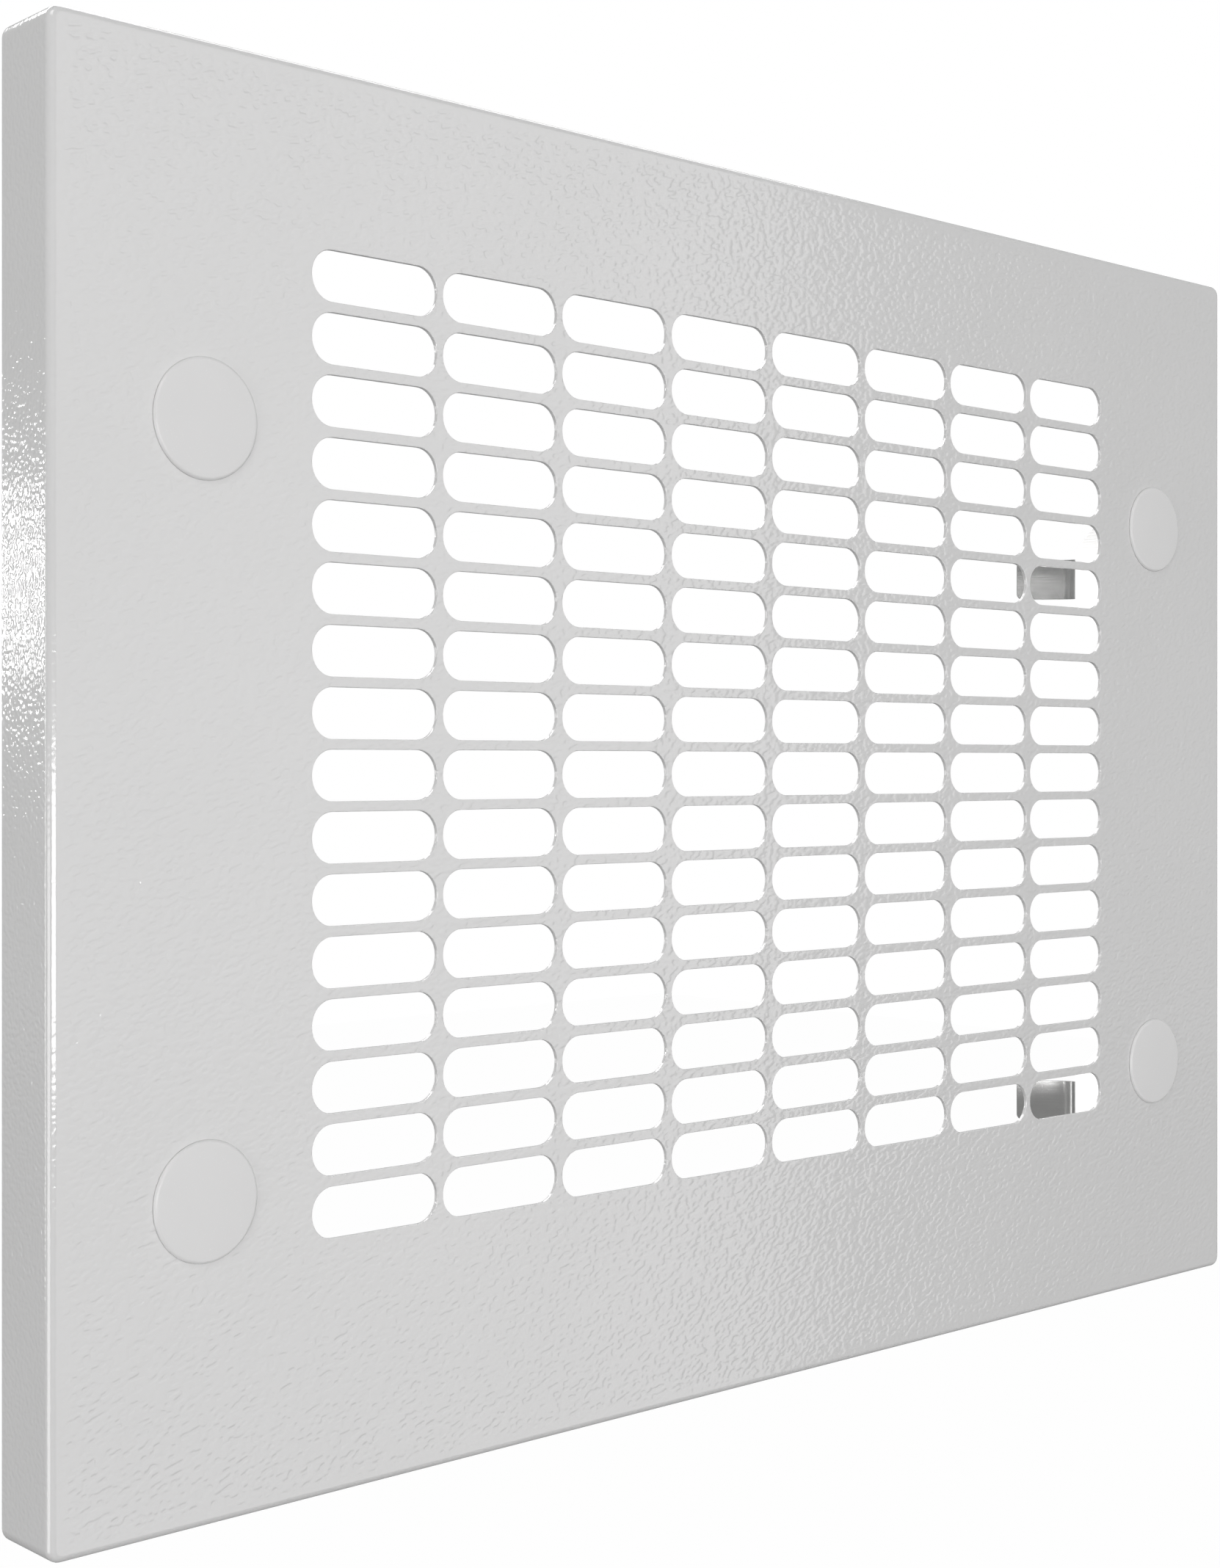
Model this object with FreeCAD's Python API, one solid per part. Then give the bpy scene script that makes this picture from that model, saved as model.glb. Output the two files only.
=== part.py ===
import FreeCAD, Part
import math
import os

# Ventilation grille: a folded, perforated tray with four retaining clips behind its corners.
# All lengths are millimetres. +X runs to the right seen from the front, +Z is up, +Y runs into the wall.
# The origin is the centre of the plane in which the tray's rear rim meets the wall.

# Tray
PANEL_WIDTH = 407.0
PANEL_HEIGHT = 300.0
PANEL_DEPTH = 18.5
SHEET = 1.0
FOLD_RADIUS = 1.7
CORNER_RADIUS = 3.0
FRONT_Y = -PANEL_DEPTH
SHEET_BACK_Y = FRONT_Y + SHEET

# Slots: columns and rows share what the margins leave of the face
SLOT_COLUMNS = 8
SLOT_ROWS = 16
SIDE_MARGIN = 61.5
TOP_MARGIN = 36.9
BOTTOM_MARGIN = 52.8
COLUMN_BRIDGE = 1.7
ROW_BRIDGE = 2.24
COLUMN_PITCH = (PANEL_WIDTH - 2 * SIDE_MARGIN) / SLOT_COLUMNS
ROW_PITCH = (PANEL_HEIGHT - TOP_MARGIN - BOTTOM_MARGIN) / SLOT_ROWS
SLOT_LENGTH = COLUMN_PITCH - COLUMN_BRIDGE
SLOT_HEIGHT = ROW_PITCH - ROW_BRIDGE
SLOT_FIELD_RISE = (BOTTOM_MARGIN - TOP_MARGIN) / 2

# Corner stations, where each cap, stud and clip shares one axis
STATION_INSET = 35.7
STATION_ROWS_APART = 12
STATION_DROP = 5.5
STATION_X = PANEL_WIDTH / 2 - STATION_INSET
STATION_SPACING = STATION_ROWS_APART * ROW_PITCH
UPPER_Z = STATION_SPACING / 2 - STATION_DROP
LOWER_Z = -STATION_SPACING / 2 - STATION_DROP

# Cover cap
CAP_DIAMETER = 25.0
CAP_THICKNESS = 1.0
CAP_EDGE_RADIUS = 0.6

# Flush stud, washer and nut
STUD_DIAMETER = 4.0
STUD_HEAD_DIAMETER = 6.0
STUD_HEAD_THICKNESS = 0.7
STUD_END_CHAMFER = 0.4
STUD_BEYOND_NUT = 1.6
WASHER_DIAMETER = 9.0
WASHER_THICKNESS = 0.8
NUT_ACROSS_FLATS = 7.0
NUT_THICKNESS = 3.2
NUT_SIDES = 6
NUT_CHAMFER_ANGLE = 30.0
STUD_CLEARANCE = 0.15
THREAD_CLEARANCE = 0.05

# Retaining clip
CLIP_SHEET = 1.0
CLIP_HOLE_FROM_WEB = 7.8
CLIP_WEB_X = STATION_X - CLIP_HOLE_FROM_WEB
CLIP_BASE_WIDTH = 18.0
CLIP_BASE_HEIGHT = 44.0
CLIP_DROP = ROW_PITCH
CLIP_BASE_CORNER = 3.0
CLIP_BASE_BEND = 1.0
WEB_REACH = 3.4
WEB_END_HEIGHT = 15.6
SHOULDER_RADIUS = 1.5
TONGUE_HEIGHT = 11.9
TONGUE_DROP = 0.7
TONGUE_ANGLE = 45.0
TONGUE_BEND = 4.8
TONGUE_FLAT = 13.7
TONGUE_CORNER = 1.8

# How far a cutter overshoots, and how close two lengths count as equal
CLEAR_THROUGH = 2.0
MATCH = 0.001

# Depths of the stack behind the sheet
STACK_START_Y = SHEET_BACK_Y + CLIP_SHEET
NUT_START_Y = STACK_START_Y + WASHER_THICKNESS
STUD_END_Y = NUT_START_Y + NUT_THICKNESS + STUD_BEYOND_NUT

# Directions
ACROSS = FreeCAD.Vector(1, 0, 0)
INTO_WALL = FreeCAD.Vector(0, 1, 0)


def point(x, y, z):
    return FreeCAD.Vector(x, y, z)


def rod(radius, start_y, end_y, x=0.0, z=0.0):
    """A cylinder along Y between two depths."""
    return Part.makeCylinder(radius, end_y - start_y, point(x, start_y, z), INTO_WALL)


def edges_along(shape, axis):
    """The straight edges that run along one axis."""
    found = []
    for edge in shape.Edges:
        if not isinstance(edge.Curve, Part.Line):
            continue
        run = edge.Vertexes[1].Point - edge.Vertexes[0].Point
        run.normalize()
        if abs(run.dot(axis)) > 1 - MATCH:
            found.append(edge)
    return found


def edges_at_depth(shape, depth):
    """The edges that lie wholly at one depth."""
    found = []
    for edge in shape.Edges:
        box = edge.BoundBox
        if abs(box.YMin - depth) < MATCH and abs(box.YMax - depth) < MATCH:
            found.append(edge)
    return found


def rounded_block(width, height, front_y, back_y, fold_radius, corner_radius):
    """A block with rounded upright corners and a rounded front rim, the shape of a folded tray."""
    corner = point(-width / 2, front_y, -height / 2)
    block = Part.makeBox(width, back_y - front_y, height, corner)
    block = block.makeFillet(corner_radius, edges_along(block, INTO_WALL))
    return block.makeFillet(fold_radius, edges_at_depth(block, front_y))


def slot_cutter(x, z):
    """One full-radius slot, cut through the front sheet."""
    radius = SLOT_HEIGHT / 2
    half_straight = SLOT_LENGTH / 2 - radius
    start_y = FRONT_Y - CLEAR_THROUGH
    top_left = point(x - half_straight, start_y, z + radius)
    top_right = point(x + half_straight, start_y, z + radius)
    bottom_right = point(x + half_straight, start_y, z - radius)
    bottom_left = point(x - half_straight, start_y, z - radius)
    right_end = point(x + SLOT_LENGTH / 2, start_y, z)
    left_end = point(x - SLOT_LENGTH / 2, start_y, z)
    outline = Part.Wire([
        Part.LineSegment(top_left, top_right).toShape(),
        Part.Arc(top_right, right_end, bottom_right).toShape(),
        Part.LineSegment(bottom_right, bottom_left).toShape(),
        Part.Arc(bottom_left, left_end, top_left).toShape(),
    ])
    return Part.Face(outline).extrude(INTO_WALL * (SHEET + 2 * CLEAR_THROUGH))


def slot_field():
    """All slots of the field, in straight columns and rows."""
    cutters = []
    for column in range(SLOT_COLUMNS):
        x = (column - (SLOT_COLUMNS - 1) / 2) * COLUMN_PITCH
        for row in range(SLOT_ROWS):
            z = (row - (SLOT_ROWS - 1) / 2) * ROW_PITCH + SLOT_FIELD_RISE
            cutters.append(slot_cutter(x, z))
    return Part.makeCompound(cutters)


def stud_seat(x, z):
    """The stepped hole that a flush stud is pressed into."""
    head_back_y = FRONT_Y + STUD_HEAD_THICKNESS
    shank_radius = STUD_DIAMETER / 2 + STUD_CLEARANCE
    shank_hole = rod(shank_radius, FRONT_Y - CLEAR_THROUGH, SHEET_BACK_Y + CLEAR_THROUGH, x, z)
    head_hole = rod(STUD_HEAD_DIAMETER / 2, FRONT_Y - CLEAR_THROUGH, head_back_y, x, z)
    return head_hole.fuse(shank_hole)


def grille_panel(stations):
    """The tray: one sheet with four flanges folded back, slotted all over its face."""
    outside = rounded_block(
        PANEL_WIDTH, PANEL_HEIGHT, FRONT_Y, 0.0, FOLD_RADIUS, CORNER_RADIUS)
    inside = rounded_block(
        PANEL_WIDTH - 2 * SHEET, PANEL_HEIGHT - 2 * SHEET, SHEET_BACK_Y, CLEAR_THROUGH,
        FOLD_RADIUS - SHEET, CORNER_RADIUS - SHEET)
    tray = outside.cut(inside)
    tray = tray.cut(slot_field())
    for x, z in stations:
        tray = tray.cut(stud_seat(x, z))
    return tray


def cover_cap(x, z):
    """A smooth round cap, flat with a rounded rim, seated on the front face over a stud."""
    front_y = FRONT_Y - CAP_THICKNESS
    cap = rod(CAP_DIAMETER / 2, front_y, FRONT_Y, x, z)
    return cap.makeFillet(CAP_EDGE_RADIUS, edges_at_depth(cap, front_y))


def flush_stud(x, z):
    """A stud whose thin head lies flush in the sheet and whose shank points to the rear."""
    head = rod(STUD_HEAD_DIAMETER / 2, FRONT_Y, FRONT_Y + STUD_HEAD_THICKNESS, x, z)
    shank = rod(STUD_DIAMETER / 2, FRONT_Y, STUD_END_Y, x, z)
    shank = shank.makeChamfer(STUD_END_CHAMFER, edges_at_depth(shank, STUD_END_Y))
    return head.fuse(shank).removeSplitter()


def washer(x, z):
    """A flat washer on the clip's base."""
    disc = rod(WASHER_DIAMETER / 2, STACK_START_Y, NUT_START_Y, x, z)
    bore_radius = STUD_DIAMETER / 2 + STUD_CLEARANCE
    bore = rod(bore_radius, STACK_START_Y - CLEAR_THROUGH, NUT_START_Y + CLEAR_THROUGH, x, z)
    return disc.cut(bore)


def hex_nut(x, z):
    """A hexagon nut with its rear corners turned off."""
    corner_angle = 360 / NUT_SIDES
    circumradius = NUT_ACROSS_FLATS / 2 / math.cos(math.radians(corner_angle / 2))
    corners = Part.makePolygon([
        point(x, NUT_START_Y, z)
        + FreeCAD.Rotation(INTO_WALL, corner_angle * step).multVec(ACROSS * circumradius)
        for step in range(NUT_SIDES + 1)
    ])
    block = Part.Face(corners).extrude(INTO_WALL * NUT_THICKNESS)
    turned = rod(circumradius, NUT_START_Y, NUT_START_Y + NUT_THICKNESS, x, z)
    rim_width = circumradius - NUT_ACROSS_FLATS / 2
    rim_depth = rim_width * math.tan(math.radians(NUT_CHAMFER_ANGLE))
    rear_rim = edges_at_depth(turned, NUT_START_Y + NUT_THICKNESS)
    turned = turned.makeChamfer(rim_depth, rim_width, rear_rim)
    bore_radius = STUD_DIAMETER / 2 + THREAD_CLEARANCE
    bore = rod(bore_radius, NUT_START_Y - CLEAR_THROUGH, STUD_END_Y, x, z)
    return block.common(turned).cut(bore)


def rounded_path(corners, radii):
    """An open run of straight edges with a tangent arc at each inner corner."""
    edges = []
    start = corners[0]
    for index, radius in enumerate(radii):
        corner = corners[index + 1]
        backward = (corners[index] - corner).normalize()
        forward = (corners[index + 2] - corner).normalize()
        half_angle = backward.getAngle(forward) / 2
        inward = (backward + forward).normalize()
        arc_start = corner + backward * (radius / math.tan(half_angle))
        arc_end = corner + forward * (radius / math.tan(half_angle))
        arc_middle = corner + inward * (radius / math.sin(half_angle) - radius)
        edges.append(Part.LineSegment(start, arc_start).toShape())
        edges.append(Part.Arc(arc_start, arc_middle, arc_end).toShape())
        start = arc_end
    edges.append(Part.LineSegment(start, corners[-1]).toShape())
    return Part.Wire(edges)


def tongue_tip():
    """How far the tongue's end lies inward of the web and behind the wall plane."""
    angle = math.radians(TONGUE_ANGLE)
    run = TONGUE_BEND * math.tan(angle / 2) + TONGUE_FLAT
    corner_y = WEB_REACH + TONGUE_BEND * math.tan(angle / 2)
    return CLIP_WEB_X - run * math.sin(angle), corner_y + run * math.cos(angle), corner_y


def clip_section():
    """The clip's section across Z: base, web and a tongue that flares inward behind the wall."""
    tip_x, tip_y, corner_y = tongue_tip()
    corners = [
        point(CLIP_WEB_X + CLIP_BASE_WIDTH, SHEET_BACK_Y, 0),
        point(CLIP_WEB_X, SHEET_BACK_Y, 0),
        point(CLIP_WEB_X, corner_y, 0),
        point(tip_x, tip_y, 0),
    ]
    radii = [CLIP_BASE_BEND + CLIP_SHEET, TONGUE_BEND]
    return rounded_path(corners, radii).makeOffset2D(CLIP_SHEET, fill=True, openResult=True)


def clip_outline():
    """The clip seen along X: a wide base, sloping shoulders, a flat web end and a narrower tongue."""
    half_base = CLIP_BASE_HEIGHT / 2
    half_web = WEB_END_HEIGHT / 2
    start_y = SHEET_BACK_Y - CLIP_SHEET
    shoulder_y = WEB_REACH - (half_base - half_web)
    end_y = tongue_tip()[1] + 2 * CLIP_SHEET
    tongue_low = -TONGUE_DROP - TONGUE_HEIGHT / 2
    tongue_high = -TONGUE_DROP + TONGUE_HEIGHT / 2
    outline = [
        (start_y, -half_base),
        (shoulder_y, -half_base),
        (WEB_REACH, -half_web),
        (WEB_REACH, tongue_low),
        (end_y, tongue_low),
        (end_y, tongue_high),
        (WEB_REACH, tongue_high),
        (WEB_REACH, half_web),
        (shoulder_y, half_base),
        (start_y, half_base),
    ]
    corners = [point(0, y, z) for y, z in outline + outline[:1]]
    block = Part.Face(Part.makePolygon(corners)).extrude(ACROSS * (PANEL_WIDTH / 2))
    shoulders = [
        edge for edge in edges_along(block, ACROSS)
        if abs(edge.Vertexes[0].Point.y - shoulder_y) < MATCH
        or abs(abs(edge.Vertexes[0].Point.z) - half_web) < MATCH]
    return block.makeFillet(SHOULDER_RADIUS, shoulders)


def corner_edges(shape, x):
    """The short straight edges through the sheet's thickness at one distance across the panel."""
    found = []
    for edge in shape.Edges:
        box = edge.BoundBox
        if box.ZLength < MATCH and abs(edge.Length - CLIP_SHEET) < MATCH:
            if min(abs(box.XMin - x), abs(box.XMax - x)) < MATCH:
                found.append(edge)
    return found


def retaining_clip(z):
    """The right-hand clip of one corner station, its middle one slot row below the stud."""
    strip = clip_section().extrude(point(0, 0, CLIP_BASE_HEIGHT))
    strip.translate(point(0, 0, -CLIP_BASE_HEIGHT / 2))
    clip = strip.common(clip_outline())
    clip = clip.makeFillet(CLIP_BASE_CORNER, corner_edges(clip, CLIP_WEB_X + CLIP_BASE_WIDTH))
    clip = clip.makeFillet(TONGUE_CORNER, corner_edges(clip, tongue_tip()[0]))
    clip.translate(point(0, 0, z - CLIP_DROP))
    hole_radius = STUD_DIAMETER / 2 + STUD_CLEARANCE
    hole_start_y = SHEET_BACK_Y - CLEAR_THROUGH
    hole_end_y = STACK_START_Y + CLEAR_THROUGH
    return clip.cut(rod(hole_radius, hole_start_y, hole_end_y, STATION_X, z))


def mirrored(shape):
    """The left-hand twin of a right-hand shape."""
    return shape.mirror(point(0, 0, 0), ACROSS)


def main():
    heights = {"upper": UPPER_Z, "lower": LOWER_Z}
    sides = {"right": STATION_X, "left": -STATION_X}
    stations = [(x, z) for x in sides.values() for z in heights.values()]
    nodes = {"grille_panel": grille_panel(stations)}
    for level, z in heights.items():
        right_clip = retaining_clip(z)
        nodes[f"clip_{level}_right"] = right_clip
        nodes[f"clip_{level}_left"] = mirrored(right_clip)
        for side, x in sides.items():
            nodes[f"cap_{level}_{side}"] = cover_cap(x, z)
            nodes[f"stud_{level}_{side}"] = flush_stud(x, z)
            nodes[f"washer_{level}_{side}"] = washer(x, z)
            nodes[f"nut_{level}_{side}"] = hex_nut(x, z)
    os.makedirs("parts", exist_ok=True)
    for name, shape in nodes.items():
        shape.exportStep(f"parts/{name}.step")
        box = shape.BoundBox
        print(f"{name}: {len(shape.Solids)} solid, valid {shape.isValid()}, "
              f"{box.XLength:.2f} x {box.YLength:.2f} x {box.ZLength:.2f} mm")


main()
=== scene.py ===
# %% [markdown]
# # A slotted ventilation grille
# The real thing is one sheet of steel, about a millimetre thick. It is punched with rows of
# round-ended slots, folded back on all four sides like the lid of a tin, and powder coated.
# Four smooth round caps hide the studs that carry its spring clips, which sit behind the sheet.
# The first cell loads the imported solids. The grille's outer size and the places of its caps are
# read from them, so the dressed grille and the solids can't drift apart.

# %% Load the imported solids
import math
import bmesh
import bpy
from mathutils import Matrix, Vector


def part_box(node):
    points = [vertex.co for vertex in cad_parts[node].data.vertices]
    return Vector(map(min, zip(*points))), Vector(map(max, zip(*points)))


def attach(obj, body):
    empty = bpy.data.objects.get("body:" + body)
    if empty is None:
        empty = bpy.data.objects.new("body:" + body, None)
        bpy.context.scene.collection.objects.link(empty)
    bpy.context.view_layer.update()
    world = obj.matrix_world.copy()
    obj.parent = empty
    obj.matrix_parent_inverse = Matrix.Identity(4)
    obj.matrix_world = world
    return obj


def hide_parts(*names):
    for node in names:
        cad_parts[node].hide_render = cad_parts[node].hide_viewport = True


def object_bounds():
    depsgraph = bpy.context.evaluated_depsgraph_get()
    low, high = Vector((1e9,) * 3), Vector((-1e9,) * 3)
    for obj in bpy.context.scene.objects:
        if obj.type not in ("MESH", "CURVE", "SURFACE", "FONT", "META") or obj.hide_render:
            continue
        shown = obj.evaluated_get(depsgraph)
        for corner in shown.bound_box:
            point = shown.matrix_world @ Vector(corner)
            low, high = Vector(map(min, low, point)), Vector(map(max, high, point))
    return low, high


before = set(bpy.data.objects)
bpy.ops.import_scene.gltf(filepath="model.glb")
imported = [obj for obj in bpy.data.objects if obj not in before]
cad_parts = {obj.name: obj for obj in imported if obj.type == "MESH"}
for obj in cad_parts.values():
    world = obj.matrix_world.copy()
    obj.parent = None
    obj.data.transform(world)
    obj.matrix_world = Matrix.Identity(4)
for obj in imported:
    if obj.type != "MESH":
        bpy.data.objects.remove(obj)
solid_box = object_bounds()
MM = 0.001
STATIONS = [f"{level}_{side}" for level in ("upper", "lower") for side in ("left", "right")]
print("nodes:", len(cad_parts))

# %% [markdown]
# Node trees get long when each node is placed by hand. Here one small class wraps a socket, so
# that a sum such as 1 - grain * 0.2 adds the Math nodes by itself. Every other node comes from
# one function, which takes the node's type, its settings and what goes into its sockets.

# %% A socket that can do sums
class Flow:
    """A value that runs through a node tree. Arithmetic on it adds Math nodes."""

    def __init__(self, tree, socket):
        self.tree = tree
        self.socket = socket

    def maths(self, operation, first, second):
        return add_node(self.tree, "ShaderNodeMath", {"operation": operation},
                        {0: first, 1: second}).out(0)

    def __add__(self, other):
        return self.maths("ADD", self, other)

    def __radd__(self, other):
        return self.maths("ADD", other, self)

    def __sub__(self, other):
        return self.maths("SUBTRACT", self, other)

    def __rsub__(self, other):
        return self.maths("SUBTRACT", other, self)

    def __mul__(self, other):
        return self.maths("MULTIPLY", self, other)

    def __rmul__(self, other):
        return self.maths("MULTIPLY", other, self)

    def __truediv__(self, other):
        return self.maths("DIVIDE", self, other)

    def __rtruediv__(self, other):
        return self.maths("DIVIDE", other, self)

    def __neg__(self):
        return self.maths("MULTIPLY", self, -1.0)

    def __abs__(self):
        return self.maths("ABSOLUTE", self, 0.0)

    def smaller(self, other):
        """The smaller of the two."""
        return self.maths("MINIMUM", self, other)

    def larger(self, other):
        """The larger of the two."""
        return self.maths("MAXIMUM", self, other)


class Node:
    """A node in a tree, whose outputs come back as Flow values."""

    def __init__(self, tree, node):
        self.tree = tree
        self.node = node

    def out(self, key=0):
        return Flow(self.tree, self.node.outputs[key])


def plug(tree, node, sockets):
    """Give each socket its link, or a fixed value."""
    for key, value in sockets.items():
        if isinstance(value, Flow):
            tree.links.new(value.socket, node.inputs[key])
        else:
            node.inputs[key].default_value = value


def add_node(tree, kind, settings=None, sockets=None):
    """Add one node: settings first, then what goes into its sockets."""
    node = tree.nodes.new(kind)
    for name, value in (settings or {}).items():
        setattr(node, name, value)
    plug(tree, node, sockets or {})
    return Node(tree, node)


print("node helpers ready")

# %% [markdown]
# Four finishes cover the whole object. All of them read Object coordinates, in metres, so a
# grain of 1.5 mm is the same on every piece. First come the helpers that they share: an empty
# material with its shader, a noise at a real size, and a bump of a real height.

# %% Helpers for finishes
def new_finish(name):
    """An empty material with a Principled shader and Object coordinates."""
    material = bpy.data.materials.new(name)
    material.use_nodes = True
    tree = material.node_tree
    tree.nodes.clear()
    shader = add_node(tree, "ShaderNodeBsdfPrincipled")
    add_node(tree, "ShaderNodeOutputMaterial", {}, {"Surface": shader.out("BSDF")})
    place = add_node(tree, "ShaderNodeTexCoord").out("Object")
    return material, tree, shader.node, place


def stretched(tree, place, scale, rotation=(0.0, 0.0, 0.0)):
    """Turn the coordinates, then squeeze them, to give a pattern a direction."""
    turned = add_node(tree, "ShaderNodeMapping", {}, {"Vector": place, "Rotation": rotation})
    return add_node(tree, "ShaderNodeMapping", {}, {"Vector": turned.out(0), "Scale": scale}).out(0)


def grain(tree, place, size, detail=2.0, roughness=0.5):
    """Noise from 0 to 1 whose lumps are about this many metres across."""
    return add_node(tree, "ShaderNodeTexNoise", {"noise_dimensions": "3D"},
                    {"Vector": place, "Scale": 1.0 / size, "Detail": detail,
                     "Roughness": roughness}).out(0)


def ramp(tree, value, stops):
    """Map a value through a ramp given as (position, grey) stops."""
    node = tree.nodes.new("ShaderNodeValToRGB")
    elements = node.color_ramp.elements
    while len(elements) < len(stops):
        elements.new(1.0)
    for element, (position, grey) in zip(elements, stops):
        element.position = position
        element.color = (grey, grey, grey, 1.0)
    plug(tree, node, {0: value})
    return Flow(tree, node.outputs[0])


def mix_colour(tree, factor, first, second):
    """Blend two colours by a factor."""
    return add_node(tree, "ShaderNodeMix", {"data_type": "RGBA"},
                    {0: factor, 6: first, 7: second}).out(2)


def bump(tree, height, depth):
    """The normal of a surface whose height, from 0 to 1, stands for this many metres."""
    return add_node(tree, "ShaderNodeBump", {},
                    {"Height": height, "Distance": depth, "Strength": 1.0}).out(0)


def paint(node_name, material):
    """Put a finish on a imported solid."""
    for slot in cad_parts[node_name].material_slots:
        slot.material = material


print("finish helpers ready")

# %% [markdown]
# ## The powder coat
# Powder paint melts and flows in an oven, and here it sets in a leather-like skin: short soft
# ridges one or two millimetres long, a few hundredths of a millimetre high. Displaced geometry
# could show them, but it would take millions of faces, so they go into the bump, as a noise
# squeezed along a slant with a finer noise on top. Colour hardly changes. A slow drift in
# brightness keeps the big face from looking like plastic.
# The skin is pulled smooth where the sheet is folded and lies flatter on the flanges. So its
# height is scaled twice: by how far in from the edge a point is, and by how far behind the face.

# %% Mix the coat's colours and ridges
COAT_LIGHT = (0.79, 0.79, 0.788, 1.0)
COAT_SHADE = (0.765, 0.766, 0.763, 1.0)
RIDGE_SIZE = 0.95 * MM
RIDGE_STRETCH = (1.0, 1.0, 0.6)
RIDGE_SLANT = (0.0, math.radians(-74), 0.0)
RIDGE_STOPS = ((0.32, 0.0), (0.52, 0.62), (0.75, 1.0))
FINE_SIZE = 0.45 * MM
PATCH_SIZE = 60 * MM
PATCH_STOPS = ((0.35, 0.0), (0.65, 1.0))
PATCH_TONE = 0.55
RIDGE_TONE = 0.25

coat, tree, shader, place = new_finish("powder_coat")
slanted = stretched(tree, place, RIDGE_STRETCH, RIDGE_SLANT)
ridges = ramp(tree, grain(tree, slanted, RIDGE_SIZE, detail=0.0), RIDGE_STOPS)
fine = grain(tree, place, FINE_SIZE, detail=2.0)
patches = grain(tree, place, PATCH_SIZE, detail=3.0)
tone = ramp(tree, patches, PATCH_STOPS) * PATCH_TONE + ridges * RIDGE_TONE
print("ridges", round(RIDGE_SIZE / MM, 2), "mm across")

# %% Calm the skin along the folds
FOLD_RADIUS = 1.7 * MM
CALM_WIDTH = 5.0 * MM
FOLD_SKIN = 0.22
FLANGE_SKIN = 0.6
FLANGE_START = 0.6

panel_low, panel_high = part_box("grille_panel")
spread = add_node(tree, "ShaderNodeSeparateXYZ", {}, {0: place})
to_side = panel_high.x - abs(spread.out(0))
to_end = panel_high.z - abs(spread.out(2))
behind_face = spread.out(1) - panel_low.y
fold_share = FOLD_RADIUS / CALM_WIDTH
calmed = ramp(tree, to_side.smaller(to_end) / CALM_WIDTH, ((fold_share, FOLD_SKIN), (1.0, 1.0)))
on_flange = ramp(tree, behind_face / FOLD_RADIUS,
                 ((FLANGE_START, 0.0), (1.0, FLANGE_SKIN - FOLD_SKIN)))
off_corner = ramp(tree, to_side.larger(to_end) / CALM_WIDTH, ((fold_share, 0.0), (1.0, 1.0)))
skin_height = calmed + on_flange * off_corner
print("skin on the folds", FOLD_SKIN, "and on the flanges", FLANGE_SKIN, "of its height")

# %% Finish the powder coat
RIDGE_SHARE = 0.97
FINE_SHARE = 0.03
RIDGE_HEIGHT = 0.068 * MM
COAT_ROUGHNESS = 0.06
ROUGHNESS_DRIFT = 0.03

plug(tree, shader, {
    "Base Color": mix_colour(tree, tone, COAT_SHADE, COAT_LIGHT),
    "Roughness": COAT_ROUGHNESS + (fine + patches) * ROUGHNESS_DRIFT,
    "IOR": 1.5,
    "Specular IOR Level": 0.95,
    "Normal": bump(tree, (ridges * RIDGE_SHARE + fine * FINE_SHARE) * skin_height, RIDGE_HEIGHT),
})
paint("grille_panel", coat)
print("powder coat:", len(tree.nodes), "nodes")

# %% [markdown]
# ## The caps' plastic
# The caps are moulded in smooth plastic, a touch lighter than the coat. Under a raking light a
# moulded face is never quite flat, so a very shallow slow wave and a faint haze are enough.

# %% Make the cap plastic
CAP_LIGHT = (0.84, 0.84, 0.838, 1.0)
CAP_SHADE = (0.82, 0.82, 0.818, 1.0)
WAVE_SIZE = 9 * MM
WAVE_HEIGHT = 0.02 * MM
WAVE_SHARE = 0.9
SPECK_SIZE = 0.3 * MM
SPECK_SHARE = 0.1
CAP_ROUGHNESS = 0.22
CAP_HAZE = 0.08

cap_plastic, tree, shader, place = new_finish("cap_plastic")
wave = grain(tree, place, WAVE_SIZE, detail=1.0)
specks = grain(tree, place, SPECK_SIZE, detail=2.0)
plug(tree, shader, {
    "Base Color": mix_colour(tree, wave, CAP_SHADE, CAP_LIGHT),
    "Roughness": CAP_ROUGHNESS + specks * CAP_HAZE,
    "IOR": 1.46,
    "Normal": bump(tree, wave * WAVE_SHARE + specks * SPECK_SHARE, WAVE_HEIGHT),
})
for station in STATIONS:
    paint(f"cap_{station}", cap_plastic)
print("cap plastic:", len(tree.nodes), "nodes")

# %% [markdown]
# ## The clips' steel
# The clips are bright rolled strip. Rolling leaves fine lines along the strip and the mill
# leaves cloudy patches, so the colour and the roughness follow two noises: one that is pulled
# out very long in one direction and one that isn't.

# %% Make the rolled steel
STEEL_LIGHT = (0.6, 0.6, 0.595, 1.0)
STEEL_DARK = (0.4, 0.4, 0.395, 1.0)
ROLL_SIZE = 0.35 * MM
ROLL_STRETCH = (0.03, 0.03, 1.0)
ROLL_HEIGHT = 0.006 * MM
ROLL_TONE = 0.4
CLOUD_SIZE = 7 * MM
CLOUD_TONE = 0.6
STEEL_ROUGHNESS = 0.12
ROLL_HAZE = 0.05
CLOUD_HAZE = 0.08

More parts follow.
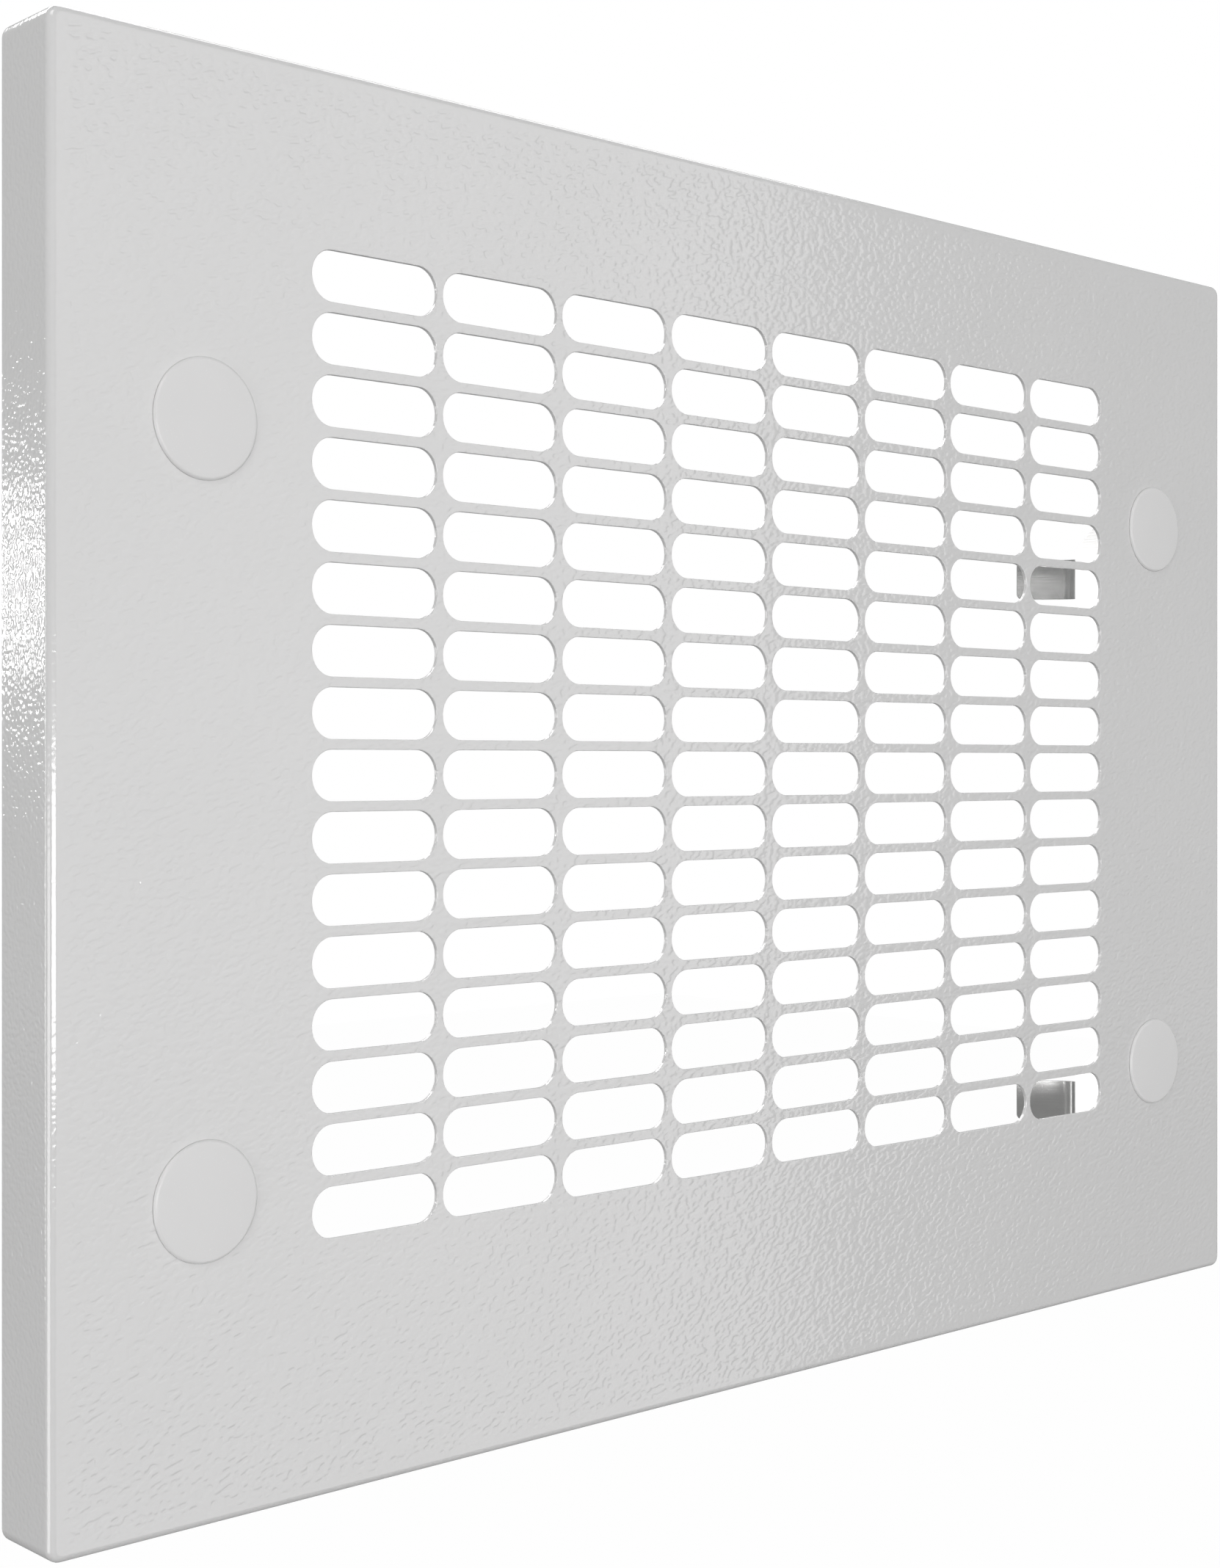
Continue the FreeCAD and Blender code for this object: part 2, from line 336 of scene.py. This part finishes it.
rolled_steel, tree, shader, place = new_finish("rolled_steel")
lines = grain(tree, stretched(tree, place, ROLL_STRETCH), ROLL_SIZE, detail=3.0, roughness=0.6)
clouds = grain(tree, place, CLOUD_SIZE, detail=4.0)
steel_tone = clouds * CLOUD_TONE + lines * ROLL_TONE
plug(tree, shader, {
    "Base Color": mix_colour(tree, steel_tone, STEEL_DARK, STEEL_LIGHT),
    "Roughness": STEEL_ROUGHNESS + clouds * CLOUD_HAZE + lines * ROLL_HAZE,
    "Metallic": 1.0,
    "Normal": bump(tree, lines, ROLL_HEIGHT),
})
for station in STATIONS:
    paint(f"clip_{station}", rolled_steel)
print("rolled steel:", len(tree.nodes), "nodes")

# %% [markdown]
# ## The fasteners' zinc
# Studs, nuts and washers are zinc plated. The plating has a cool tint that shifts a little
# towards straw in patches, and a slightly uneven gloss. These pieces show only from behind, so
# two small noises are enough.

# %% Make the zinc plate
ZINC_COOL = (0.63, 0.67, 0.71, 1.0)
ZINC_STRAW = (0.71, 0.69, 0.61, 1.0)
TINT_SIZE = 2.5 * MM
TINT_STOPS = ((0.45, 0.0), (0.7, 1.0))
PLATE_SIZE = 0.2 * MM
PLATE_HEIGHT = 0.004 * MM
ZINC_ROUGHNESS = 0.22
ZINC_HAZE = 0.12

zinc_plate, tree, shader, place = new_finish("zinc_plate")
straw = ramp(tree, grain(tree, place, TINT_SIZE, detail=2.0), TINT_STOPS)
plate = grain(tree, place, PLATE_SIZE, detail=2.0)
plug(tree, shader, {
    "Base Color": mix_colour(tree, straw, ZINC_COOL, ZINC_STRAW),
    "Roughness": ZINC_ROUGHNESS + plate * ZINC_HAZE,
    "Metallic": 1.0,
    "Normal": bump(tree, plate, PLATE_HEIGHT),
})
for station in STATIONS:
    for part in ("stud", "washer", "nut"):
        paint(f"{part}_{station}", zinc_plate)
print("zinc plate:", len(tree.nodes), "nodes")

# %% [markdown]
# ## The coated panel
# Powder paint rounds every cut edge, and those small round lips catch the light all along the
# slots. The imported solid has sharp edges, so this step builds the same sheet again with lips.
# A Bevel modifier would have to sort out 128 slots in a fine mesh. The panel follows a rule from
# end to end, though, which makes it a good job for Geometry Nodes: one slot outline is set out
# on a grid, the sheet between the slots is filled, and short profiles are swept round every
# slot, round every stud hole, and round the whole edge for the fold and its flange.
# The tree works flat, in the XY plane with the face up, and stands the sheet up at the end.

# %% Open, close and run a geometry tree
def new_tree(name, sizes):
    """An empty geometry tree with named size inputs, and those inputs as Flow values."""
    tree = bpy.data.node_groups.new(name, "GeometryNodeTree")
    for label, value in sizes.items():
        kind = "NodeSocketInt" if isinstance(value, int) else "NodeSocketFloat"
        tree.interface.new_socket(label, in_out="INPUT", socket_type=kind)
    tree.interface.new_socket("Finish", in_out="INPUT", socket_type="NodeSocketMaterial")
    tree.interface.new_socket("Geometry", in_out="OUTPUT", socket_type="NodeSocketGeometry")
    entry = add_node(tree, "NodeGroupInput")
    return tree, {label: entry.out(label) for label in (*sizes, "Finish")}


def close_tree(tree, shape, finish, weld):
    """Make the copies real, weld what touches, give the finish and end the tree."""
    real = add_node(tree, "GeometryNodeRealizeInstances", {}, {0: shape}).out(0)
    welded = add_node(tree, "GeometryNodeMergeByDistance", {},
                      {"Geometry": real, "Distance": weld}).out(0)
    dressed = add_node(tree, "GeometryNodeSetMaterial", {},
                       {"Geometry": welded, "Material": finish}).out(0)
    add_node(tree, "NodeGroupOutput", {}, {"Geometry": dressed})


def grown(tree, sizes, finish, name):
    """Run a tree on an empty mesh and return what it makes as a plain mesh object."""
    seed = bpy.data.objects.new(name, bpy.data.meshes.new(name))
    bpy.context.collection.objects.link(seed)
    modifier = seed.modifiers.new("grow", "NODES")
    modifier.node_group = tree
    for item in tree.interface.items_tree:
        if item.in_out == "INPUT":
            modifier[item.identifier] = finish if item.name == "Finish" else sizes[item.name]
    graph = bpy.context.evaluated_depsgraph_get()
    mesh = bpy.data.meshes.new_from_object(seed.evaluated_get(graph))
    seed.modifiers.remove(modifier)
    seed.data = mesh
    mesh.name = name
    return seed


print("tree helpers ready")

# %% Move, join and copy geometry
def joined(tree, *parts):
    """Join several geometries. The last link made comes first, so they go in backwards."""
    node = tree.nodes.new("GeometryNodeJoinGeometry")
    for part in reversed(parts):
        tree.links.new(part.socket, node.inputs[0])
    return Flow(tree, node.outputs[0])


def moved(tree, shape, shift, turn=(0.0, 0.0, 0.0)):
    """Turn a geometry, then shift it."""
    return add_node(tree, "GeometryNodeTransform", {},
                    {"Geometry": shape, "Translation": shift, "Rotation": turn}).out(0)


def vector(tree, x=0.0, y=0.0, z=0.0):
    """Three numbers as one vector."""
    return add_node(tree, "ShaderNodeCombineXYZ", {}, {0: x, 1: y, 2: z}).out(0)


def point_grid(tree, width, height, columns, rows, rise):
    """Points in columns and rows, their middle lifted by a rise."""
    grid = add_node(tree, "GeometryNodeMeshGrid", {}, {
        "Size X": width, "Size Y": height, "Vertices X": columns, "Vertices Y": rows}).out(0)
    return moved(tree, grid, shift=vector(tree, 0.0, rise))


def on_points(tree, points, shape):
    """A copy of a shape on every point, made real."""
    copies = add_node(tree, "GeometryNodeInstanceOnPoints", {},
                      {"Points": points, "Instance": shape}).out(0)
    return add_node(tree, "GeometryNodeRealizeInstances", {}, {0: copies}).out(0)


print("placing helpers ready")

# %% Draw, fill and sweep outlines
def rounded(tree, outline, radius, steps):
    """Round the corners of an outline, each with this many steps."""
    return add_node(tree, "GeometryNodeFilletCurve", {"mode": "POLY"},
                    {"Curve": outline, "Count": steps, "Radius": radius}).out("Curve")


def rounded_rectangle(tree, width, height, radius, steps):
    """A closed rectangle with rounded corners."""
    outline = add_node(tree, "GeometryNodeCurvePrimitiveQuadrilateral", {"mode": "RECTANGLE"},
                       {"Width": width, "Height": height}).out(0)
    return rounded(tree, outline, radius, steps)


def circle(tree, radius, steps):
    """A round outline."""
    return add_node(tree, "GeometryNodeCurvePrimitiveCircle", {"mode": "RADIUS"},
                    {"Resolution": steps, "Radius": radius}).out(0)


def filled(tree, outlines):
    """A flat sheet inside the outer outline and outside the inner ones."""
    return add_node(tree, "GeometryNodeFillCurve", {"mode": "TRIANGLES"},
                    {"Curve": outlines}).out(0)


def swept(tree, path, section):
    """Sweep a section along a path."""
    return add_node(tree, "GeometryNodeCurveToMesh", {},
                    {"Curve": path, "Profile Curve": section}).out(0)


print("outline helpers ready")

# %% [markdown]
# A swept section is an open line with a few corners, some of them rounded. The nodes have no
# line with corners of one's own, so a straight row of points is made first. Two Index Switch
# nodes then tell each point, by its number, where it belongs and how round its corner is.

# %% Draw a section for sweeping
def by_index(tree, kind, index, values):
    """A field that gives each point the value with the point's own number."""
    switch = add_node(tree, "GeometryNodeIndexSwitch", {"data_type": kind})
    while len(switch.node.index_switch_items) < len(values):
        switch.node.index_switch_items.new()
    plug(tree, switch.node, {"Index": index})
    plug(tree, switch.node, {number + 1: value for number, value in enumerate(values)})
    return switch.out(0)


def section(tree, corners, radii, steps):
    """An open line through (across, down) corners. Those named in radii are rounded."""
    line = add_node(tree, "GeometryNodeMeshLine", {"mode": "OFFSET"},
                    {"Count": len(corners)}).out(0)
    index = add_node(tree, "GeometryNodeInputIndex").out(0)
    places = by_index(tree, "VECTOR", index, [vector(tree, *corner) for corner in corners])
    rounds = by_index(tree, "FLOAT", index,
                      [radii.get(number, 0.0) for number in range(len(corners))])
    placed = add_node(tree, "GeometryNodeSetPosition", {},
                      {"Geometry": line, "Position": places}).out(0)
    curve = add_node(tree, "GeometryNodeMeshToCurve", {}, {0: placed}).out(0)
    return rounded(tree, curve, rounds, steps)


print("section helper ready")

# %% Measure the panel and its stations
cap_low, cap_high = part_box("cap_upper_right")
lower_cap_low, lower_cap_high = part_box("cap_lower_right")
PANEL = {
    "Width": panel_high.x - panel_low.x,
    "Height": panel_high.z - panel_low.z,
    "Depth": panel_high.y - panel_low.y,
    "Sheet": 1.0 * MM,
    "Fold Radius": FOLD_RADIUS,
    "Corner Radius": 3.0 * MM,
    "Rim Radius": 0.2 * MM,
    "Side Margin": 61.5 * MM,
    "Top Margin": 36.9 * MM,
    "Bottom Margin": 52.8 * MM,
    "Column Bridge": 1.7 * MM,
    "Row Bridge": 2.24 * MM,
    "Columns": 8,
    "Rows": 16,
    "Lip Radius": 0.18 * MM,
    "Station X": (cap_low.x + cap_high.x) / 2,
    "Upper Z": (cap_low.z + cap_high.z) / 2,
    "Lower Z": (lower_cap_low.z + lower_cap_high.z) / 2,
    "Stud Head Radius": 3.0 * MM,
    "Stud Head Depth": 0.7 * MM,
    "Stud Hole Radius": 2.15 * MM,
}
print("panel", [round(PANEL[key] / MM, 2) for key in ("Width", "Height", "Depth")], "mm")

# %% Set out the slots
END_STEPS = 9
END_SHARE = 0.97

tree, size = new_tree("coated_panel", PANEL)
column_pitch = (size["Width"] - size["Side Margin"] * 2) / size["Columns"]
row_pitch = (size["Height"] - size["Top Margin"] - size["Bottom Margin"]) / size["Rows"]
field_rise = (size["Bottom Margin"] - size["Top Margin"]) / 2
lip = size["Lip Radius"]
slot_width = column_pitch - size["Column Bridge"] + lip * 2
slot_height = row_pitch - size["Row Bridge"] + lip * 2
slot_outline = rounded_rectangle(tree, slot_width, slot_height,
                                 slot_height / 2 * END_SHARE, END_STEPS)
slot_places = point_grid(tree, column_pitch * (size["Columns"] - 1),
                         row_pitch * (size["Rows"] - 1), size["Columns"], size["Rows"], field_rise)
slots = on_points(tree, slot_places, slot_outline)
print("slots:", PANEL["Columns"] * PANEL["Rows"])

# %% Set out the stud holes and the edge
CORNER_STEPS = 6
HOLE_STEPS = 40

fold = size["Fold Radius"]
head_radius = size["Stud Head Radius"]
hole_radius = size["Stud Hole Radius"]
stud_places = point_grid(tree, size["Station X"] * 2, size["Upper Z"] - size["Lower Z"], 2, 2,
                         (size["Upper Z"] + size["Lower Z"]) / 2)
head_holes = on_points(tree, stud_places, circle(tree, head_radius, HOLE_STEPS))
shank_holes = on_points(tree, stud_places, circle(tree, hole_radius, HOLE_STEPS))
edge = rounded_rectangle(tree, size["Width"] - fold * 2, size["Height"] - fold * 2,
                         size["Corner Radius"] - fold, CORNER_STEPS)
print("stud holes:", len(STATIONS))

# %% Fill the sheet and sweep its edges
LIP_STEPS = 4
FOLD_STEPS = 10
WELD = 0.004 * MM

sheet = size["Sheet"]
depth = size["Depth"]
rim = size["Rim Radius"]
head_depth = size["Stud Head Depth"]
seat_step = hole_radius - head_radius
front = filled(tree, joined(tree, slots, head_holes, edge))
back = filled(tree, joined(tree, slots, shank_holes, edge))
back = moved(tree, back, shift=vector(tree, z=-sheet))
back = add_node(tree, "GeometryNodeFlipFaces", {}, {0: back}).out(0)
lip_section = section(tree, [(0.0, 0.0), (-lip, 0.0), (-lip, sheet), (0.0, sheet)],
                      {1: lip, 2: lip}, LIP_STEPS)
seat_section = section(tree, [(0.0, 0.0), (0.0, head_depth), (seat_step, head_depth),
                              (seat_step, sheet)], {}, 1)
fold_section = section(tree, [(0.0, 0.0), (fold, 0.0), (fold, depth), (fold - sheet, depth),
                              (fold - sheet, sheet), (0.0, sheet)],
                       {1: fold, 2: rim, 3: rim, 4: fold - sheet}, FOLD_STEPS)
whole = joined(tree, front, back, swept(tree, slots, lip_section),
               swept(tree, head_holes, seat_section), swept(tree, edge, fold_section))
upright = moved(tree, whole, shift=vector(tree, y=-depth), turn=(math.pi / 2, 0.0, 0.0))
close_tree(tree, upright, size["Finish"], WELD)
print("panel tree:", len(tree.nodes), "nodes")

# %% [markdown]
# The sheet comes out of the tree with every seam closed, but smooth shading would smear its flat
# faces into the small lips. Normals weighed by the area of the faces keep the flats flat and the
# lips round. The cell prints the open edges, which have to be none, and the volume.

# %% Give a piece clean shading
SLIVER = 0.0005 * MM
AREA_WEIGHT = 80
CUBIC_MM = 1e-9


def tidied(made):
    """Turn all faces outwards, weigh the normals by area and print what was made."""
    work = bmesh.new()
    work.from_mesh(made.data)
    bmesh.ops.dissolve_degenerate(work, dist=SLIVER, edges=work.edges)
    bmesh.ops.recalc_face_normals(work, faces=work.faces)
    open_edges = sum(1 for edge in work.edges if len(edge.link_faces) != 2)
    volume = work.calc_volume(signed=True)
    work.to_mesh(made.data)
    work.free()
    made.data.shade_smooth()
    weights = made.modifiers.new("weigh", "WEIGHTED_NORMAL")
    weights.mode = "FACE_AREA"
    weights.weight = AREA_WEIGHT
    graph = bpy.context.evaluated_depsgraph_get()
    mesh = bpy.data.meshes.new_from_object(made.evaluated_get(graph))
    made.modifiers.remove(weights)
    made.data = mesh
    triangles = sum(len(face.vertices) - 2 for face in mesh.polygons)
    print(made.name, triangles, "triangles,", open_edges, "open edges,",
          round(volume / CUBIC_MM), "mm3")
    return made


# %% Grow the panel
panel = tidied(grown(tree, PANEL, coat, "coated_panel"))
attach(panel, "root")
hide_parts("grille_panel")

# %% [markdown]
# ## The domed caps
# Each cap is a shallow button: it rises a little towards the middle and rolls over at the rim, so
# it shades softly from one side to the other. A flat disc with a Bevel would have the rim but not
# the rise. So half of a section through the middle is drawn, and turned once round the cap's own
# axis. The rings and their faces are written out by number instead of with the Spin tool, which
# leaves doubled points on the axis and puts its points in another order on every run.

# %% Draw half a cap
DOME_RISE = 0.25 * MM
DOME_POINTS = 14
RIM_POINTS = 6


def cap_outline(radius, thickness):
    """Half a section: the dome from the middle of the face, then the rim down to the back."""
    rim = thickness - DOME_RISE
    shares = [number / DOME_POINTS for number in range(DOME_POINTS + 1)]
    turns = [math.pi / 2 * number / RIM_POINTS for number in range(1, RIM_POINTS + 1)]
    dome = [((radius - rim) * share, thickness - DOME_RISE * share ** 2) for share in shares]
    return dome + [(radius - rim + rim * math.sin(turn), rim * math.cos(turn)) for turn in turns]


print("half a cap:", DOME_POINTS + RIM_POINTS + 1, "points")

# %% Turn the caps
TURN_STEPS = 96


def turned(name, outline, centre, back):
    """A closed round piece: an outline of (radius, height) points, turned round the Y axis."""
    rings = outline[1:]
    turns = [math.tau * step / TURN_STEPS for step in range(TURN_STEPS)]
    places = [(centre.x, back - outline[0][1], centre.z), (centre.x, back, centre.z)]
    places += [(centre.x + out * math.cos(turn), back - height, centre.z + out * math.sin(turn))
               for out, height in rings for turn in turns]
    first, last = 2, 2 + (len(rings) - 1) * TURN_STEPS
    faces = []
    for step in range(TURN_STEPS):
        after = (step + 1) % TURN_STEPS
        faces.append((0, first + step, first + after))
        faces.append((1, last + after, last + step))
        for ring in range(first, last, TURN_STEPS):
            faces.append((ring + step, ring + TURN_STEPS + step,
                          ring + TURN_STEPS + after, ring + after))
    mesh = bpy.data.meshes.new(name)
    mesh.from_pydata(places, [], faces)
    mesh.materials.append(cap_plastic)
    made = bpy.data.objects.new(name, mesh)
    bpy.context.collection.objects.link(made)
    return made


for station in STATIONS:
    low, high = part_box(f"cap_{station}")
    centre = (Vector(low) + Vector(high)) / 2
    outline = cap_outline((high.x - low.x) / 2, high.y - low.y)
    cap = tidied(turned(f"domed_cap_{station}", outline, centre, high.y))
    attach(cap, "root")
    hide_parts(f"cap_{station}")

# %% [markdown]
# ## The floor and the room
# The grille hangs clear of a pale floor, in a room as white as the floor. Both are plain white
# where the camera sees them, straight or through something clear. A shiny face sees only a share
# of that white, because the clips would turn white as well if they mirrored all of it.

# %% Lay the floor
FLOOR_DROP = 0.75
FLOOR_SIZE = 12.0
FLOOR_GREY = (0.15, 0.15, 0.15, 1.0)
FLOOR_GLOW = 0.99
WHITE = (1.0, 1.0, 1.0, 1.0)
GLOSSY_SHARE = 0.2


def background_share(tree):
    """How much of the white a ray sees: all of it, a share in a shiny face, or none."""
    path = add_node(tree, "ShaderNodeLightPath")
    straight = path.out("Is Camera Ray").larger(path.out("Is Transmission Ray"))
    return straight.larger(path.out("Is Glossy Ray") * GLOSSY_SHARE)


floor_height = solid_box[0][2] - FLOOR_DROP
bpy.ops.mesh.primitive_plane_add(size=FLOOR_SIZE, location=(0.0, 0.0, floor_height))
floor = bpy.context.object
floor.name = "floor"
floor_paint = bpy.data.materials.new("pale_floor")
floor_paint.use_nodes = True
tree = floor_paint.node_tree
tree.nodes.clear()
diffuse = add_node(tree, "ShaderNodeBsdfDiffuse", {}, {"Color": FLOOR_GREY})
glow = add_node(tree, "ShaderNodeEmission", {}, {"Color": WHITE, "Strength": 1.0})
blend = add_node(tree, "ShaderNodeMixShader", {}, {
    0: background_share(tree) * FLOOR_GLOW, 1: diffuse.out(0), 2: glow.out(0)})
add_node(tree, "ShaderNodeOutputMaterial", {}, {"Surface": blend.out(0)})
floor.data.materials.append(floor_paint)
print("floor at", round(floor_height, 4), "m")

# %% Light the room
WORLD_LEVEL = 0.24
ROOM_TINT = (0.985, 1.0, 0.993, 1.0)

world = bpy.data.worlds.new("studio")
bpy.context.scene.world = world
world.use_nodes = True
tree = world.node_tree
tree.nodes.clear()
seen = background_share(tree)
background = add_node(tree, "ShaderNodeBackground", {}, {
    "Color": mix_colour(tree, seen, ROOM_TINT, WHITE),
    "Strength": seen * (1.0 - WORLD_LEVEL) + WORLD_LEVEL})
add_node(tree, "ShaderNodeOutputWorld", {}, {"Surface": background.out(0)})
print("room light:", WORLD_LEVEL)

# %% [markdown]
# ## The lamps
# Most of the lamps are placed for what they do in the glossy coat: a lamp shows in it wherever
# the camera would see that lamp in a flat mirror.
# - overhead and rear_top draw the white line along the top fold and the glints at the lower
#   right of every slot.
# - front_card is mirrored by the left two thirds of the face. The skin shows most at the card's
#   right edge, where every ridge mirrors either the card or the darker room.
# - front_strip draws the white line down the left fold.
# - rear_left is very small and makes the patch of sparkles on the flange.
# - upper_left, left_panel and side_card fill in the flange, the caps and the clips.
#
# Places, aims and sizes are in metres, and powers in watts.

# %% Set the lamps
LAMP_COLOUR = (1.0, 0.99, 0.993)
LAMPS = {
    "overhead": {
        "place": (0.595, 0.4, 1.2), "aim": (0.595, 0.4, 0.0), "size": (1.19, 0.6), "power": 5.5},
    "rear_top": {
        "place": (0.05, 1.05, 1.2), "aim": (0.05, 0.0, 0.0), "size": (1.3, 0.6), "power": 12.0},
    "upper_left": {
        "place": (-1.0, -0.8, 1.3), "aim": (0.0, 0.0, 0.0), "size": (0.8, 0.8), "power": 5.8},
    "front_strip": {
        "place": (-0.515, -1.485, -0.13), "aim": (-0.2, 0.0, -0.02), "size": (1.45, 0.28),
        "power": 8.3},
    "front_card": {
        "place": (0.772, -1.2, -0.02), "aim": (0.772, 0.0, -0.02), "size": (1.15, 1.65),
        "power": 6.2},
    "left_panel": {
        "place": (-1.6, -0.3, -0.5), "aim": (-0.2, 0.0, 0.0), "size": (1.0, 1.0), "power": 7.8},
    "rear_left": {
        "place": (-0.873, 1.18, 0.145), "aim": (-0.2, 0.0, 0.04), "size": (0.09, 0.14),
        "power": 0.48},
    "side_card": {
        "place": (-1.6, 1.26, -0.1), "aim": (0.16, 0.0, 0.0), "size": (0.4, 0.8), "power": 3.4},
}

for name, lamp in LAMPS.items():
    data = bpy.data.lights.new(name, "AREA")
    data.shape = "RECTANGLE"
    data.size, data.size_y = lamp["size"]
    data.energy = lamp["power"]
    data.color = LAMP_COLOUR
    lamp_object = bpy.data.objects.new(name, data)
    bpy.context.collection.objects.link(lamp_object)
    lamp_object.location = lamp["place"]
    away = Vector(lamp["place"]) - Vector(lamp["aim"])
    lamp_object.rotation_euler = away.to_track_quat("Z", "Y").to_euler()
print("lamps:", ", ".join(LAMPS))

# %% [markdown]
# ## The camera
# The camera stands level, close to the grille and to the left of it, and looks across its face to
# the right. That nearness is what makes the left edge so much taller than the right one. The
# lens is shifted a little instead of tilted, so upright edges stay upright.

# %% Stand the camera where the photograph was taken
CAMERA_PLACE = (-0.4266, -0.4065, 0.0039)
CAMERA_TURN = math.radians(-40.767)
PHOTO_HEIGHT = 2136
FOCAL_PIXELS = 3130.0
SENSOR = 36.0
SHIFT_RIGHT = 0.0764
SHIFT_UP = -0.0131
NEAR_CLIP = 0.01

camera_data = bpy.data.cameras.new("camera")
camera_data.sensor_width = SENSOR
camera_data.lens = FOCAL_PIXELS * SENSOR / PHOTO_HEIGHT
camera_data.shift_x = SHIFT_RIGHT
camera_data.shift_y = SHIFT_UP
camera_data.clip_start = NEAR_CLIP
camera = bpy.data.objects.new("camera", camera_data)
bpy.context.collection.objects.link(camera)
camera.location = CAMERA_PLACE
camera.rotation_euler = (math.radians(90), 0.0, CAMERA_TURN)
bpy.context.scene.camera = camera
bpy.context.scene.view_settings.view_transform = "Standard"
print("lens", round(camera_data.lens, 2), "mm")
